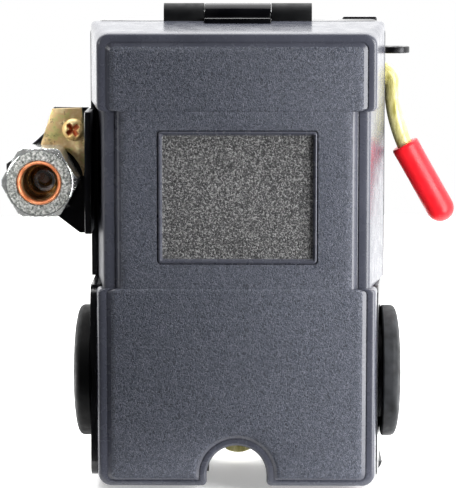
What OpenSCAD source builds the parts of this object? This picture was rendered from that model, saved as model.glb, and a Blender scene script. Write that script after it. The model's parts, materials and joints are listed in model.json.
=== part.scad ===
// Air-compressor pressure switch with a hinged cover, hand lever, unloader valve
// and a four-port manifold. Millimetres, +Z up, +Y towards the pressure port.
// The origin is the centre of the pressure port's mouth.

/* [Cover] */
// Width of the cover at its front face
cover_w = 64.4; // [62:0.1:66]
// Height of the cover at its front face
cover_h = 105.4; // [104:0.1:107]
// Depth of the cover from its front face to the parting line
cover_d = 25; // [24:0.5:26]
// How far each side leans out over the cover's depth
cover_draft = 2.5; // [1.5:0.1:2.6]
// Wall thickness of the cover
cover_wall = 2.2; // [1.8:0.1:2.4]
// Depth of the recess along each side of the cover
side_recess = 1.35; // [0.5:0.05:1.5]
// Outer radius of the cover's hinge barrel
hinge_r = 2.7; // [2.2:0.1:2.8]

/* [Base] */
// Outer width of the base
base_w = 70; // [69.4:0.1:71]
// Wall thickness of the base
base_wall = 2.2; // [1.8:0.1:2.4]
// Thickness of the base's back plate
plate_t = 4; // [3.5:0.1:5]
// Diameter of the rubber cable grommets
grommet_d = 31.2; // [28:0.2:32]
// Diameter of the cable hole in a grommet
cable_d = 9; // [6:0.5:11]

/* [Lever] */
// Radius of the lever's bent wire
wire_r = 1.9; // [1.5:0.05:1.9]
// Radius of the lever's vinyl grip
grip_r = 3.37; // [2.8:0.05:3.8]
// Length of the straight part of the grip
grip_l = 17.6; // [14:0.2:20]

/* [Unloader valve] */
// Across flats of the compression nut
nut_af = 16; // [15:0.1:17]
// Outer radius of the tube sleeve
sleeve_r = 5.1; // [4.8:0.05:5.3]
// Radius of the tube socket in the sleeve
tube_r = 4.4; // [4:0.05:4.5]

/* [Mechanism] */
// Radius of the rocker's pivot pin
pivot_r = 2; // [1.5:0.1:2.2]
// Radius of the range stud
stud_r = 3; // [2.5:0.1:3]
// Outer radius of the range spring
spring_r = 8; // [7:0.1:8.4]

/* [Manifold] */
// Pilot radius of the four threaded ports
port_r = 5.55; // [5:0.05:6]
// Depth of thread in each port
port_l = 10; // [8:0.5:10]
// Reach of the side and bottom ports from the middle of the manifold
port_reach = 26; // [24:0.5:28]

/* [Hidden] */
$fn = 64;
base_y0 = cover_d + 0.3;
plate_y0 = 38;
plate_y1 = plate_y0 + plate_t;
port_y = 84;
port_z = 58;
aux_y = 62;
base_x = base_w / 2;
base_z0 = -1.6;
base_z1 = 107.2;
ear_x = 34.2;
ear_z0 = 1;
ear_z1 = 45.4;
ear_y0 = 6;
cable_y = 20.5;
cable_z = 24.2;
recess_z0 = 46.4;
recess_z1 = 87.4;
notch_r = 6.95;
notch_z = 2.55;
hinge_y = 28.4;
hinge_z = 108.6;
barrel_x = 7.5;
knuckle_x0 = 7.9;
knuckle_x1 = 17.6;
lever_y = 33;
lever_z = 95.6;
lever_x = 37.2;
bend_r = 4;
lever_knee = [lever_x, 88.4];
lever_shin = [37.8, 85];
bush_r = 4;
grip_start = [40.2, 77.2];
grip_tilt = 60.5;
valve_x = -46.05;
valve_z = 70.2;
nut_y0 = 8;
nut_y1 = 20;
valve_back = 31;
screw_x = -38.9;
screw_z = 81.7;
pivot_y = 23;
pivot_z = 92;
rocker_y = 26;
rocker_t = 2;
rocker_half = 13;
rocker_z0 = 36;
frame_screw_xs = [-14, 14];
frame_screw_zs = [39, 99];
earth_x = 26.5;
earth_z = 52;
catch_x = 3.2;
catch_r = 6;
catch_y0 = 36.4;
catch_z0 = 0.7;
catch_z1 = 13;
web_y = 36.2;
cheek_x = 20;
range_z = 75;
diff_z = 45;
diff_r = 2;
clamp_t = 2;
diaphragm_t = 1.2;
flange_y = plate_y1 + clamp_t + diaphragm_t;
flange_t = 5;
hub_back = 70.4;
pressure_l = 12;
flange_half = 26;
bolt_off = 20;
terminal_xs = [-18, -6, 6, 18];
terminal_z = 14;
contact_z = 26;
running = 0.06;
eps = 0.01;

// The case is drawn with its front face at Y 0 and the cover's foot at Z 0.
module in_case() {
    translate([0, -port_y, -port_z]) children();
}

// A cylinder along +Y, starting at [x, y, z].
module along_y(x, y, z, r, l) {
    translate([x, y, z]) rotate([-90, 0, 0]) cylinder(r = r, h = l);
}

// A cylinder along +X, starting at [x, y, z].
module along_x(x, y, z, r, l) {
    translate([x, y, z]) rotate([0, 90, 0]) cylinder(r = r, h = l);
}

// A box given by its lowest and highest corners.
module block(low, high) {
    translate(low) cube(high - low);
}

// A plate in XZ with rounded corners, l thick from y.
module plate_xz(x0, x1, z0, z1, y, l, r) {
    for (x = [x0 + r, x1 - r], z = [z0 + r, z1 - r]) along_y(x, y, z, r, l);
    block([x0 + r, y, z0], [x1 - r, y + l, z1]);
    block([x0, y, z0 + r], [x1, y + l, z1 - r]);
}

// A plate in YZ with rounded corners, l thick from x.
module plate_yz(y0, y1, z0, z1, x, l, r) {
    for (y = [y0 + r, y1 - r], z = [z0 + r, z1 - r]) along_x(x, y, z, r, l);
    block([x, y0 + r, z0], [x + l, y1 - r, z1]);
    block([x, y0, z0 + r], [x + l, y1, z1 - r]);
}

// An outline in XZ, extruded along +Y from y.
module outline_xz(points, y, l) {
    translate([0, y + l, 0]) rotate([90, 0, 0]) linear_extrude(l) polygon(points);
}

// A thin slice of the cover at depth y, wider by gx and taller by gz on each side.
module cover_slice(y, gx, gz, r) {
    x = cover_w / 2 + gx - r;
    for (side = [-x, x], z = [r - gz, cover_h + gz - r])
        translate([side, y, z]) rotate([-90, 0, 0]) cylinder(r = r, h = eps, $fn = 32);
}

// Solid block of the cover's outer form.
module cover_form() {
    hull() {
        cover_slice(0, -1.3, -1.3, 2.2);
        cover_slice(0.6, -0.4, -0.4, 2.8);
        cover_slice(2, 0.2, 0.1, 3);
        cover_slice(cover_d - eps, cover_draft, cover_draft / 2, 3);
    }
}

// Hollow of the cover, open at the back.
module cover_hollow() {
    hull() {
        cover_slice(cover_wall, -cover_wall, -cover_wall, 1.2);
        cover_slice(cover_d + eps, cover_draft - cover_wall, cover_draft / 2 - cover_wall, 1.2);
    }
}

// Wedge that cuts one side recess; it follows the side's draft.
module recess_wedge() {
    x0 = cover_w / 2 - side_recess;
    translate([0, 0, recess_z0]) linear_extrude(recess_z1 - recess_z0)
        polygon([[x0, -1], [x0 + cover_draft, cover_d + 1], [x0 + 9, cover_d + 1], [x0 + 9, -1]]);
}

module cover() {
    color("#3d4250") in_case() difference() {
        cover_form();
        cover_hollow();
        for (s = [0, 1]) mirror([s, 0, 0]) {
            recess_wedge();
            block([cover_w / 2 - 3, ear_y0 - 0.8, ear_z0 - 4], [40, cover_d + 1, ear_z1 + 0.8]);
        }
        along_y(0, -1, notch_z, notch_r, cover_d + 2);
        block([-notch_r, -1, -4], [notch_r, cover_d + 1, notch_z]);
        block([-18.6, -1, 51.9], [19, 0.4, 83.4]);
        block([-17, -1, 53.3], [17.2, 0.9, 82]);
    }
}

module hinge_barrel() {
    color("#101012") in_case() difference() {
        union() {
            along_x(-barrel_x, hinge_y, hinge_z, hinge_r, 2 * barrel_x);
            block([-barrel_x, cover_d - 5, hinge_z - hinge_r + 0.5], [barrel_x, hinge_y, hinge_z - 0.6]);
        }
        along_x(-barrel_x - 1, hinge_y, hinge_z, 1.1 + running, 2 * barrel_x + 2);
    }
}

module hinge_knuckle() {
    along_x(knuckle_x0, hinge_y, hinge_z, hinge_r, knuckle_x1 - knuckle_x0);
    block([knuckle_x0, hinge_y - hinge_r, base_z1 - 1], [knuckle_x1, hinge_y + hinge_r, hinge_z]);
}

// The ear of one side, with the cable entry's seat.
module base_ear() {
    plate_yz(ear_y0, base_y0 + 8, ear_z0, ear_z1, ear_x - base_wall, base_wall, 4);
    block([ear_x - base_wall, base_y0, ear_z0], [ear_x, plate_y0 + 2, ear_z1]);
}

module base_housing() {
    color("#0c0c0e") in_case() difference() {
        union() {
            difference() {
                plate_xz(-base_x, base_x, base_z0, base_z1, base_y0, plate_y1 - base_y0, 3);
                plate_xz(-base_x + base_wall, base_x - base_wall, base_z0 + base_wall,
                    base_z1 - base_wall, base_y0 - 1, plate_y0 - base_y0 + 1, 1.5);
                for (s = [0, 1]) mirror([s, 0, 0])
                    block([base_x - base_wall - 1, base_y0 - 1, ear_z0], [base_x + 1, plate_y1 - 2, ear_z1]);
            }
            for (s = [0, 1]) mirror([s, 0, 0]) {
                base_ear();
                hinge_knuckle();
            }
            plate_xz(25.2, 33.5, base_z1 - 6, base_z1 + 0.5, plate_y0, plate_t, 0.5);
        }
        block([-barrel_x - 0.5, base_y0 - 1, base_z1 - base_wall - 1], [barrel_x + 0.5, hinge_y + 3.3, 120]);
        along_x(-knuckle_x1 - 1, hinge_y, hinge_z, 1.1, 2 * knuckle_x1 + 2);
        along_x(-50, cable_y, cable_z, 11.2, 100);
        along_x(30, lever_y, lever_z, bush_r, 10);
        block([-40, 32.2, 65.2], [-30, 37.2, 75.2]);
        along_y(0, plate_y0 - 1, port_z, 5.6, plate_t + 2);
        along_y(0, plate_y0 + 1.8, port_z, 14.5, plate_t);
        along_y(0, 20, notch_z, notch_r, 30);
        block([-notch_r, 20, -4], [notch_r, 50, notch_z]);
        for (x = [-bolt_off, bolt_off], z = [-bolt_off, bolt_off])
            along_y(x, plate_y0 - 1, port_z + z, 2.1, plate_t + 2);
        frame_screw_holes();
        along_y(earth_x, plate_y0 - 1, earth_z, 1.7, 4.2);
    }
}

module hinge_pin() {
    color("silver") in_case() along_x(-knuckle_x1, hinge_y, hinge_z, 1.1, 2 * knuckle_x1);
}

module lockout_tab() {
    color("#101012") in_case() {
        plate_t0 = 1.6;
        difference() {
            union() {
                block([base_x, 27, 99.4], [38, 33, 99.4 + plate_t0]);
                translate([base_x + 3, 30, 99.4]) cylinder(r = 3, h = plate_t0);
            }
            translate([base_x + 3, 30, 98]) cylinder(r = 1.3, h = 4);
        }
    }
}

// A domed rubber plug whose neck fills the ear's hole.
module cable_grommet() {
    flange = grommet_d / 2;
    translate([0, cable_y, cable_z]) rotate([0, 90, 0]) rotate_extrude() polygon([
        [cable_d / 2, 30.6], [13, 30.6], [13, 32], [11.2, 32], [11.2, ear_x],
        [flange, ear_x], [flange, 36.6], [flange - 0.5, 37.4], [flange - 1.6, 38],
        [flange - 6, 38.6], [cable_d / 2, 38.7]]);
}

module cable_grommet_right() {
    color("#3a3c3e") in_case() cable_grommet();
}

module cable_grommet_left() {
    color("#202224") in_case() mirror([1, 0, 0]) cable_grommet();
}

module frame_screw_holes() {
    for (x = frame_screw_xs, z = frame_screw_zs) along_y(x, web_y - 1, z, 1.5, 5.4);
}

module frame_chassis() {
    color("#c9bc74") in_case() difference() {
        block([-cheek_x, web_y, 35], [cheek_x, plate_y0, 102]);
        along_y(0, web_y - 1, port_z, 5.6, 4);
        along_y(0, web_y - 1, range_z, stud_r, 4);
        along_y(0, web_y - 1, diff_z, diff_r, 4);
        frame_screw_holes();
    }
}

// One upright side of the chassis, standing on its web.
module frame_cheek(x) {
    difference() {
        block([x, 14, 60], [x + 1.6, web_y, 102]);
        along_x(-30, pivot_y, pivot_z, pivot_r, 60);
        along_x(0, lever_y, lever_z, wire_r + running, 30);
        block([-30, 31, 65.5], [-cheek_x + 2, web_y + 1, 75.5]);
    }
}

module frame_cheek_left() {
    color("#c9bc74") in_case() frame_cheek(-cheek_x);
}

module frame_cheek_right() {
    color("#c9bc74") in_case() frame_cheek(cheek_x - 1.6);
}

// A screw head with a cross recess, facing -Y, on a shank to the back.
module pan_screw(x, y, z, r, shank_r, shank_l) {
    difference() {
        union() {
            along_y(x, y - 0.55 * r, z, r, 0.55 * r);
            along_y(x, y, z, shank_r, shank_l);
        }
        block([x - 0.6 * r, y - r, z - 0.14 * r], [x + 0.6 * r, y - 0.25 * r, z + 0.14 * r]);
        block([x - 0.14 * r, y - r, z - 0.6 * r], [x + 0.14 * r, y - 0.25 * r, z + 0.6 * r]);
    }
}

module frame_screws() {
    color("silver") in_case() {
        for (x = frame_screw_xs, z = frame_screw_zs) pan_screw(x, web_y, z, 2.8, 1.5, 4);
    }
}

// A compression spring along Y: one swept tube of 8 sides.
module coil(z, r, wire, y0, y1, turns) {
    steps = 14 * turns;
    sides = 8;
    mean = r - wire;
    rise = (y1 - y0 - 2 * wire) / turns;
    ring = [for (i = [0:steps]) let (a = 360 * i / 14, y = y0 + wire + rise * i / 14)
        for (k = [0:sides - 1]) let (b = 360 * k / sides)
            [(mean + wire * cos(b)) * cos(a), y + wire * sin(b), z + (mean + wire * cos(b)) * sin(a)]];
    walls = [for (i = [0:steps - 1], k = [0:sides - 1]) let (n = (k + 1) % sides)
        [i * sides + k, i * sides + n, (i + 1) * sides + n, (i + 1) * sides + k]];
    near = [[for (k = [sides - 1:-1:0]) k]];
    far = [[for (k = [0:sides - 1]) steps * sides + k]];
    polyhedron(points = ring, faces = concat(near, walls, far));
}

module range_stud() {
    color("#b9b9b4") in_case() along_y(0, 5.5, range_z, stud_r, plate_y0 - 5.5);
}

module range_spring() {
    color("#55585c") in_case() coil(range_z, spring_r, 1, 11.6, rocker_y - 0.1, 5);
}

module range_spring_cap() {
    color("#c9bc74") in_case() difference() {
        along_y(0, 10, range_z, spring_r + 0.8, 1.6);
        along_y(0, 9, range_z, stud_r + 0.1, 4);
    }
}

// A hexagon nut along Y.
module hex_nut(z, r_bore, af, y0, l) {
    translate([0, y0, z]) rotate([-90, 0, 0]) difference() {
        cylinder(r = af / sqrt(3), h = l, $fn = 6);
        translate([0, 0, -1]) cylinder(r = r_bore, h = l + 2);
    }
}

module range_nut() {
    color("#d2d2cc") in_case() hex_nut(range_z, stud_r + running, 10, 6.2, 3.5);
}

module differential_stud() {
    color("#b9b9b4") in_case() along_y(0, 9.5, diff_z, diff_r, plate_y0 - 9.5);
}

module differential_spring() {
    color("#6a6d70") in_case() coil(diff_z, 5, 0.65, 15.2, rocker_y - 0.1, 5);
}

module differential_nut() {
    color("#d2d2cc") in_case() {
        hex_nut(diff_z, diff_r + running, 7, 11, 3);
        difference() {
            along_y(0, 14, diff_z, 5.4, 1.2);
            along_y(0, 13, diff_z, diff_r + running, 4);
        }
    }
}

module rocker_pivot_pin() {
    color("silver") in_case() along_x(-cheek_x - 0.6, pivot_y, pivot_z, pivot_r, 2 * cheek_x + 1.2);
}

module rocker_beam() {
    color("#d0c684") in_case() difference() {
        union() {
            block([-rocker_half, rocker_y, rocker_z0], [rocker_half, rocker_y + rocker_t, 97]);
            for (x = [-rocker_half, rocker_half - 1.6])
                plate_yz(19.6, rocker_y + rocker_t, 85, 97, x, 1.6, 1);
        }
        along_x(-30, pivot_y, pivot_z, pivot_r + running, 60);
        along_y(0, rocker_y - 1, range_z, 4.4, 4);
        along_y(0, rocker_y - 1, diff_z, 3.2, 4);
    }
}

// Foot on the rocker, then a leg back and an arm out to the valve's pin.
module unloader_arm() {
    color("#c9bc74") in_case() {
        block([-rocker_half, rocker_y + rocker_t, 67], [-5.5, rocker_y + rocker_t + 1.4, 73.4]);
        block([-rocker_half - 1.4, rocker_y + 0.5, 67], [-rocker_half, 35.8, 73.4]);
        block([valve_x - 3, 34.4, 67], [-rocker_half - 1.4 + eps, 35.8, 73.4]);
    }
}

module plunger() {
    color("#c8a24a") in_case() {
        along_y(0, plate_y1 + 0.1, port_z, 13, 1.6);
        along_y(0, rocker_y + rocker_t + 0.3, port_z, 5.5, plate_y1 - rocker_y - rocker_t);
    }
}

module contact_block() {
    color("#2a2420") in_case() difference() {
        union() {
            block([-24.5, 27.2, 6], [24.5, plate_y0, 31]);
            for (x = [-24.5, -12.7, -0.7, 11.3, 23.1]) block([x, 21.5, 6], [x + 1.4, 27.3, 19.8]);
        }
        for (x = terminal_xs) along_y(x, 26, terminal_z, 1.7, 8);
        along_y(0, 20, notch_z, notch_r + 0.6, 30);
        block([-catch_x, catch_y0, 5], [catch_x, plate_y0 + 1, catch_z1]);
    }
}

// Spring plate that catches the cover's foot, seen through the notch.
module cover_catch() {
    color("#d8cf86") in_case() intersection() {
        block([-catch_x, catch_y0, catch_z0], [catch_x, plate_y0 - 0.1, catch_z1]);
        hull() for (z = [catch_z0 + catch_r, catch_z1]) along_y(0, catch_y0 - 1, z, catch_r, 4);
    }
}

module terminal_plates() {
    color("#c7a34a") in_case() for (x = terminal_xs) difference() {
        block([x - 4.4, 26.2, 8], [x + 4.4, 27.2, 29]);
        along_y(x, 25, terminal_z, 1.7, 4);
        along_y(x, 25, contact_z, 1.1, 4);
    }
}

module terminal_screws() {
    color("silver") in_case() for (x = terminal_xs) pan_screw(x, 26.2, terminal_z, 3.2, 1.65, 6);
}

module fixed_contacts() {
    color("#d8d8d8") in_case() for (x = terminal_xs) {
        along_y(x, 25.4, contact_z, 1.9, 0.8);
        along_y(x, 26.2, contact_z, 1.1, 1);
    }
}

module contact_carrier() {
    color("#6b4a2c") in_case() {
        block([-22.5, 20.2, 22.4], [22.5, 23.6, 29.8]);
        block([-6, 20.2, 29.8 - eps], [6, 22.6, 35]);
        block([-6, 20.2, 35 - eps], [6, rocker_y - 0.35, 39.4]);
    }
}

module moving_contacts() {
    color("#c97b3e") in_case() for (s = [-1, 1]) {
        block([s * 12 - 8, 23.6, contact_z - 2.4], [s * 12 + 8, 24.4, contact_z + 2.4]);
        for (x = [s * 12 - 6, s * 12 + 6]) along_y(x, 24.4 - eps, contact_z, 1.9, 0.7);
    }
}

module ground_screw() {
    color("#3f8a3a") in_case() pan_screw(earth_x, plate_y0, earth_z, 3.4, 1.7, 3);
}

module lever_bush() {
    color("#e8e6dc") in_case() difference() {
        union() {
            along_x(base_x - base_wall, lever_y, lever_z, bush_r, base_wall);
            along_x(base_x - base_wall - 1, lever_y, lever_z, bush_r + 1, 1);
        }
        along_x(base_x - 6, lever_y, lever_z, wire_r + running, 8);
        translate([lever_x - bend_r - 0.3, lever_y, lever_z]) rotate([0, 90, 0])
            cylinder(r1 = wire_r + running, r2 = wire_r + 1.5, h = 2.2);
    }
}

// A straight length of the lever's wire between two points in its plane.
module wire_run(a, b) {
    d = b - a;
    translate([a.x, lever_y, a.y]) {
        sphere(r = wire_r + 0.03);
        rotate([0, 90 - atan2(d.y, d.x), 0]) cylinder(r = wire_r, h = norm(d));
    }
}

function bend_point(a) = [lever_x - bend_r + bend_r * sin(a), lever_z - bend_r + bend_r * cos(a)];

module lever_wire() {
    color("#d8cf86") in_case() {
        along_x(17, lever_y, lever_z, wire_r, lever_x - bend_r - 17);
        for (a = [0, 30, 60]) wire_run(bend_point(a), bend_point(a + 30));
        wire_run([lever_x, lever_z - bend_r], lever_knee);
        wire_run(lever_knee, lever_shin);
        wire_run(lever_shin, grip_start);
        wire_run(grip_start, grip_start + 6 * [cos(grip_tilt), -sin(grip_tilt)]);
    }
}

module lever_grip() {
    color("#ee1c34") in_case() translate([grip_start.x, lever_y, grip_start.y])
        rotate([0, 90 + grip_tilt, 0]) difference() {
            union() {
                cylinder(r = grip_r, h = grip_l);
                translate([0, 0, grip_l]) intersection() {
                    sphere(r = grip_r);
                    cylinder(r = grip_r, h = grip_r);
                }
            }
            translate([0, 0, -1]) cylinder(r = wire_r, h = 7 + wire_r);
            translate([0, 0, 6]) sphere(r = wire_r + 0.3);
        }
}

module lever_cam() {
    color("#b9b9b4") in_case() difference() {
        union() {
            along_x(24, lever_y, lever_z, 4.2, 3.5);
            block([24, lever_y - 7, lever_z - 2.2], [27.5, lever_y, lever_z + 2.2]);
        }
        along_x(23, lever_y, lever_z, wire_r, 6);
    }
}

module lever_clip() {
    color("#8a8d90") in_case() difference() {
        along_x(16.9, lever_y, lever_z, 3.2, 0.8);
        along_x(16, lever_y, lever_z, wire_r, 3);
    }
}

module valve_carrier() {
    color("#0e0e10") in_case() difference() {
        union() {
            translate([0, 0, 58.5]) linear_extrude(28.4) polygon([
                [-33.8, 6], [-35.3, 6], [-35.3, 30], [-35, 30], [-35, base_y0], [-33.8, base_y0 - 0.3]]);
            outline_xz([[-35, 86.9], [-43.6, 86.9], [-46, 80.75], [-49.3, 77.65], [-55, 73.5],
                [-55, 66.9], [-50, 61.4], [-42.8, 60.9], [-37.6, 56.9], [-35, 56.9]], 22, 8);
        }
        along_y(valve_x, 21, valve_z, 7.2, 10);
        along_y(screw_x, 21, screw_z, 1.5, 10);
    }
}

module valve_bracket() {
    color("#c4b35e") in_case() difference() {
        outline_xz([[-43.9, 86.6], [-36.9, 86.8], [-35.9, 78.1], [-35.9, 74.5], [-36.8, 69.5],
            [-40, 67], [-50, 69], [-46.8, 77.6]], 20.6, 1.4);
        along_y(-45.4, 20, 69.2, 8.9, 4);
        along_y(screw_x, 20, screw_z, 1.6, 4);
    }
}

module bracket_screw() {
    color("#c9a85a") in_case() pan_screw(screw_x, 20.6, screw_z, 2.6, 1.5, 8);
}

module valve_body() {
    color("#b98d3e") in_case() difference() {
        union() {
            along_y(valve_x, 13, valve_z, 6.6, 8);
            along_y(valve_x, 20.2, valve_z, 7.2, valve_back - 20.2);
        }
        along_y(valve_x, 12, valve_z, sleeve_r, 4);
        along_y(valve_x, 15, valve_z, 3.1, 13);
        along_y(valve_x, 25, valve_z, 1.5 + running, 10);
    }
}

module compression_nut() {
    color("#c8cac8") in_case() difference() {
        intersection() {
            translate([valve_x, nut_y0, valve_z]) rotate([-90, 0, 0])
                cylinder(r = nut_af / sqrt(3), h = nut_y1 - nut_y0, $fn = 6);
            translate([valve_x, nut_y0, valve_z]) rotate([-90, 0, 0]) rotate_extrude() polygon([
                [0, 0], [nut_af / 2 - 0.4, 0], [nut_af / sqrt(3) - 0.4, 1.1],
                [nut_af / sqrt(3) - 0.4, 11.2], [nut_af / 2 + 0.4, 12], [0, 12]]);
        }
        along_y(valve_x, nut_y0 - 1, valve_z, sleeve_r, 14);
        along_y(valve_x, nut_y0 + 4.5, valve_z, 6.6, 10);
    }
}

module tube_sleeve() {
    color("#d9642c") in_case() difference() {
        along_y(valve_x, nut_y0 - 0.4, valve_z, sleeve_r, 8.4);
        along_y(valve_x, nut_y0 - 1, valve_z, tube_r, 10);
    }
}

module valve_pin() {
    color("#d0d0cc") in_case() {
        along_y(valve_x, 23, valve_z, 1.5, 10.2);
        along_y(valve_x, 32.6, valve_z, 2.6, 1.4);
    }
}

// Four corner holes through a part of the diaphragm's clamp.
module corner_holes(y, l, r) {
    for (x = [-bolt_off, bolt_off], z = [-bolt_off, bolt_off]) along_y(x, y, port_z + z, r, l);
}

module clamp_plate() {
    color("#c9bc74") in_case() difference() {
        plate_xz(-flange_half, flange_half, port_z - flange_half, port_z + flange_half, plate_y1, clamp_t, 5);
        along_y(0, plate_y1 - 1, port_z, 14.5, 4);
        corner_holes(plate_y1 - 1, 4, 2.1);
    }
}

module diaphragm() {
    color("#1c1c1c") in_case() difference() {
        plate_xz(-flange_half, flange_half, port_z - flange_half, port_z + flange_half,
            plate_y1 + clamp_t, diaphragm_t, 5);
        corner_holes(plate_y1, 4, 2.1);
    }
}

module manifold_flange() {
    color("#141416") in_case() difference() {
        plate_xz(-flange_half, flange_half, port_z - flange_half, port_z + flange_half,
            flange_y, flange_t, 5);
        along_y(0, flange_y - 1, port_z, 13, 3);
        along_y(0, flange_y, port_z, 3, flange_t + 1);
        corner_holes(flange_y - 1, flange_t + 2, 2.1);
    }
}

// The manifold's hub, with the channels that join its four ports.
module manifold() {
    boss_root = port_reach - port_l;
    color("#141416") in_case() difference() {
        union() {
            along_y(0, flange_y + flange_t, port_z, 16, hub_back - flange_y - flange_t);
            along_x(-boss_root, aux_y, port_z, 8.2, 2 * boss_root);
            translate([0, aux_y, port_z - boss_root]) cylinder(r = 8.2, h = boss_root);
        }
        along_y(0, flange_y, port_z, 3, port_y - flange_y);
        along_x(-port_reach, aux_y, port_z, 3, 2 * port_reach);
        translate([0, aux_y, port_z - port_reach]) cylinder(r = 3, h = port_reach);
    }
}

// A round boss with a pipe port through it, standing on its root along +Z.
module port_boss() {
    difference() {
        cylinder(r = 8.6, h = port_l);
        translate([0, 0, -1]) cylinder(r = port_r, h = port_l + 2);
    }
}

module port_boss_left() {
    color("#141416") in_case() translate([port_l - port_reach, aux_y, port_z]) rotate([0, -90, 0]) port_boss();
}

module port_boss_right() {
    color("#141416") in_case() translate([port_reach - port_l, aux_y, port_z]) rotate([0, 90, 0]) port_boss();
}

module port_boss_bottom() {
    color("#141416") in_case() translate([0, aux_y, port_z - port_reach + port_l]) rotate([180, 0, 0]) port_boss();
}

// The hexagon that takes the spanner, with the pressure port in its end.
module port_hexagon() {
    color("#141416") in_case() difference() {
        translate([0, hub_back, port_z]) rotate([-90, 0, 0])
            cylinder(r = 10.4, h = port_y - hub_back, $fn = 6);
        along_y(0, hub_back - 1, port_z, 3, 8);
        along_y(0, port_y - pressure_l, port_z, port_r, pressure_l + 1);
    }
}

module flange_bolts() {
    color("silver") in_case() for (x = [-bolt_off, bolt_off], z = [-bolt_off, bolt_off])
        translate([x, 0, port_z + z]) rotate([-90, 0, 0]) {
            translate([0, 0, plate_y0 + 0.2]) cylinder(r = 2, h = flange_y + flange_t - plate_y0);
            translate([0, 0, flange_y + flange_t]) cylinder(r = 4, h = 2.8, $fn = 6);
        }
}

cover();
hinge_barrel();
base_housing();
hinge_pin();
lockout_tab();
cable_grommet_left();
cable_grommet_right();
frame_chassis();
frame_cheek_left();
frame_cheek_right();
frame_screws();
range_stud();
range_spring();
range_spring_cap();
range_nut();
differential_stud();
differential_spring();
differential_nut();
rocker_pivot_pin();
rocker_beam();
unloader_arm();
plunger();
contact_block();
terminal_plates();
terminal_screws();
fixed_contacts();
contact_carrier();
moving_contacts();
ground_screw();
cover_catch();
lever_bush();
lever_wire();
lever_grip();
lever_cam();
lever_clip();
valve_carrier();
valve_bracket();
bracket_screw();
valve_body();
compression_nut();
tube_sleeve();
valve_pin();
clamp_plate();
diaphragm();
manifold_flange();
manifold();
port_boss_left();
port_boss_right();
port_boss_bottom();
port_hexagon();
flange_bolts();
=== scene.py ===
import json
import math

import bmesh
import bpy
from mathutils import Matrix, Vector, geometry


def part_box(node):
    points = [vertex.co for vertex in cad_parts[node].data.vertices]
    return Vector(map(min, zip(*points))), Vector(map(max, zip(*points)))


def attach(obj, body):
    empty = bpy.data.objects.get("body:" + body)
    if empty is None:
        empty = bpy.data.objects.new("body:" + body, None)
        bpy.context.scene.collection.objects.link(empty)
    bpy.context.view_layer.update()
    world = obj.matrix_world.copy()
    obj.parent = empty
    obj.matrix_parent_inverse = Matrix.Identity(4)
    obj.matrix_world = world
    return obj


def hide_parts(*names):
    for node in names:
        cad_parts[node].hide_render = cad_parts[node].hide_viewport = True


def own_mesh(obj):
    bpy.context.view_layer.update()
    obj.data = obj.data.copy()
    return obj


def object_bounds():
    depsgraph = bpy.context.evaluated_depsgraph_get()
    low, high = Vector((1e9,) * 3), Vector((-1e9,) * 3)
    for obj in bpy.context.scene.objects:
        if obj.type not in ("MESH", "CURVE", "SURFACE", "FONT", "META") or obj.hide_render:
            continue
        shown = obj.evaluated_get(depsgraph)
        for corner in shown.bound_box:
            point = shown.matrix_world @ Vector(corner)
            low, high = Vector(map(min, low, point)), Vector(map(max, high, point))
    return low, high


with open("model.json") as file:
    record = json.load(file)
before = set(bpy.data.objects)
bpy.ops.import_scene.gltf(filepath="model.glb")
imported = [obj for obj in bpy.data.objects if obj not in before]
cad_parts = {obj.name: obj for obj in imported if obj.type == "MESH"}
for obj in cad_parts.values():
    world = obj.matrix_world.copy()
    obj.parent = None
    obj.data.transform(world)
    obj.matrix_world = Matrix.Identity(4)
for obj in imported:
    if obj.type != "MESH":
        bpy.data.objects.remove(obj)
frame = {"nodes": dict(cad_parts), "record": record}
CAD_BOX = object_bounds()

# ------------------------------------------------------------------ the case's own place
# Shapes below are given in millimetres from the cover's front face (Y 0) and foot (Z 0).
MM = 0.001
COVER_DRAFT_Z = 1.25
TOP_DRAFT = 1.72
FOOT_DRAFT = 1.5
CASE = Vector((0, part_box("cover")[0][1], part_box("cover")[0][2] + COVER_DRAFT_Z * MM))


def at(x, y, z):
    """A point of the case, in metres in the shared frame."""
    return CASE + Vector((x, y, z)) * MM


# ------------------------------------------------------------------ mesh helpers
# Edges that bend by more than these angles look sharp. The CAD's edges past EASE_FROM are rounded, and
# its faces within FLAT of each other become one.
SHARP = math.radians(38)
COVER_SHARP = math.radians(45)
NUT_SHARP = math.radians(24)
SCREW_SHARP = math.radians(50)
EASE_FROM = math.radians(32)
FLAT = math.radians(1.0)
# Points nearer than this, in metres, become one.
WELD = 1e-6
CAD_WELD = 2e-6


def finish_mesh(name, mesh_edit, materials, body, replaced=(), sharp=SHARP):
    """Turns a bmesh into a piece: normals out, edges sharp past an angle, riding on its body."""
    bmesh.ops.recalc_face_normals(mesh_edit, faces=mesh_edit.faces)
    for face in mesh_edit.faces:
        face.smooth = True
    for edge in mesh_edit.edges:
        if len(edge.link_faces) == 2 and edge.calc_face_angle() > sharp:
            edge.smooth = False
    mesh = bpy.data.meshes.new(name)
    mesh_edit.to_mesh(mesh)
    mesh_edit.free()
    piece = bpy.data.objects.new(name, mesh)
    bpy.context.scene.collection.objects.link(piece)
    for material in materials:
        mesh.materials.append(material)
    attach(piece, body)
    if replaced:
        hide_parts(*replaced)
    return piece


def join_rows(mesh_edit, rows, material=0, keep=None):
    """Quads between closed rows of vertices of the same length, where keep(row, place) allows them."""
    count = len(rows[0])
    for r in range(len(rows) - 1):
        for i in range(count):
            if keep and not keep(r, i):
                continue
            n = (i + 1) % count
            corners = [rows[r][i], rows[r][n], rows[r + 1][n], rows[r + 1][i]]
            mesh_edit.faces.new(corners).material_index = material


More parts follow.
